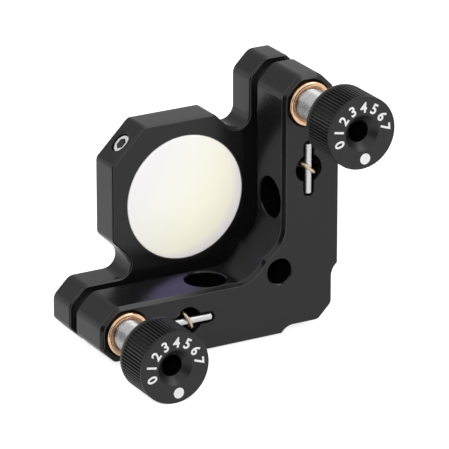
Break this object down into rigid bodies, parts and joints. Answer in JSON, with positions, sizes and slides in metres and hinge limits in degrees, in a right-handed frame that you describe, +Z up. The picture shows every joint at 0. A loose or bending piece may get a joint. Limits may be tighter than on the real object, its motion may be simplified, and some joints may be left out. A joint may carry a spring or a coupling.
{
  "type": "kinematic mirror mount",
  "caption": "L-shaped kinematic mount holding a round mirror in an octagonal cell, with black knobs on fine adjuster screws.",
  "frame": {"origin": "on the underside of the back plate's pad, on the axis of the bottom post hole", "axes": "+Z up along the upright arm, +Y from the knobs through the plates to the side that the mirror faces, +X to the right as seen from the knobs"},
  "size_m": [0.055, 0.0411, 0.055],
  "materials": {
    "black_anodised": "satin black anodised, machined",
    "black_anodised_front": "satin black anodised, machined",
    "mirror_glass": "polished, ground rim",
    "bronze": "turned bronze",
    "screw_steel": "fine-threaded stainless steel",
    "knob_black": "black anodised with a fine straight knurl",
    "bright_steel": "polished steel",
    "hard_steel": "ground hardened steel",
    "spring_wire": "drawn spring wire",
    "pin_steel": "ground dowel pin",
    "nylon": "natural nylon"
  },
  "bodies": {
    "base": {"back_plate": "black_anodised", "upper_bushing": "bronze", "lower_bushing": "bronze", "upper_rear_pin": "pin_steel", "lower_rear_pin": "pin_steel", "upper_spring": "spring_wire", "lower_spring": "spring_wire"},
    "pivot": {"pivot_ball": "bright_steel"},
    "cell": {"front_plate": "black_anodised_front", "mirror": "mirror_glass", "cone_seat": "hard_steel", "groove_seat": "hard_steel", "flat_seat": "hard_steel", "upper_front_pin": "pin_steel", "lower_front_pin": "pin_steel"},
    "upper_tip": {"upper_tip_ball": "bright_steel"},
    "upper_adjuster": {"upper_screw": "screw_steel", "upper_knob": "knob_black"},
    "lower_tip": {"lower_tip_ball": "bright_steel"},
    "lower_adjuster": {"lower_screw": "screw_steel", "lower_knob": "knob_black"},
    "lock_slide": {"lock_tip": "nylon"},
    "lock": {"lock_screw": "bright_steel"}
  },
  "joints": [
    {"name": "upper_advance", "type": "slide", "parent": "base", "child": "upper_tip", "axis": [0, 1, 0], "range_m": [-0.00213, 0.00213]},
    {"name": "upper_turn", "type": "hinge", "parent": "upper_tip", "child": "upper_adjuster", "pos_m": [0.02025, -0.0115, 0.04705], "axis": [0, 1, 0], "range_deg": [-2400, 2400]},
    {"name": "lower_advance", "type": "slide", "parent": "base", "child": "lower_tip", "axis": [0, 1, 0], "range_m": [-0.00213, 0.00213]},
    {"name": "lower_turn", "type": "hinge", "parent": "lower_tip", "child": "lower_adjuster", "pos_m": [-0.02005, -0.0115, 0.00675], "axis": [0, 1, 0], "range_deg": [-2400, 2400]},
    {"name": "pitch", "type": "hinge", "parent": "base", "child": "pivot", "pos_m": [0.02025, 0.00668, 0.00675], "axis": [-1, 0, 0], "range_deg": [-3.05, 3.05], "deforming": ["upper_spring"]},
    {"name": "yaw", "type": "hinge", "parent": "pivot", "child": "cell", "pos_m": [0.02025, 0.00668, 0.00675], "axis": [0, 0, -1], "range_deg": [-3.05, 3.05], "deforming": ["lower_spring"]},
    {"name": "lock_back_out", "type": "slide", "parent": "cell", "child": "lock_slide", "axis": [-0.7071, 0, 0.7071], "range_m": [0, 0.0015]},
    {"name": "lock_turn", "type": "hinge", "parent": "lock_slide", "child": "lock", "pos_m": [-0.011, 0.0116, 0.038], "axis": [-0.7071, 0, 0.7071], "range_deg": [0, 682]}
  ],
  "couplings": [
    {"joint": "upper_advance", "follows": "upper_turn", "m_per_rad": 0.000050532},
    {"joint": "pitch", "follows": "upper_turn", "ratio": 0.0012539},
    {"joint": "lower_advance", "follows": "lower_turn", "m_per_rad": 0.000050532},
    {"joint": "yaw", "follows": "lower_turn", "ratio": 0.0012539},
    {"joint": "lock_turn", "follows": "lock_back_out", "rad_per_m": 7915.8}
  ]
}
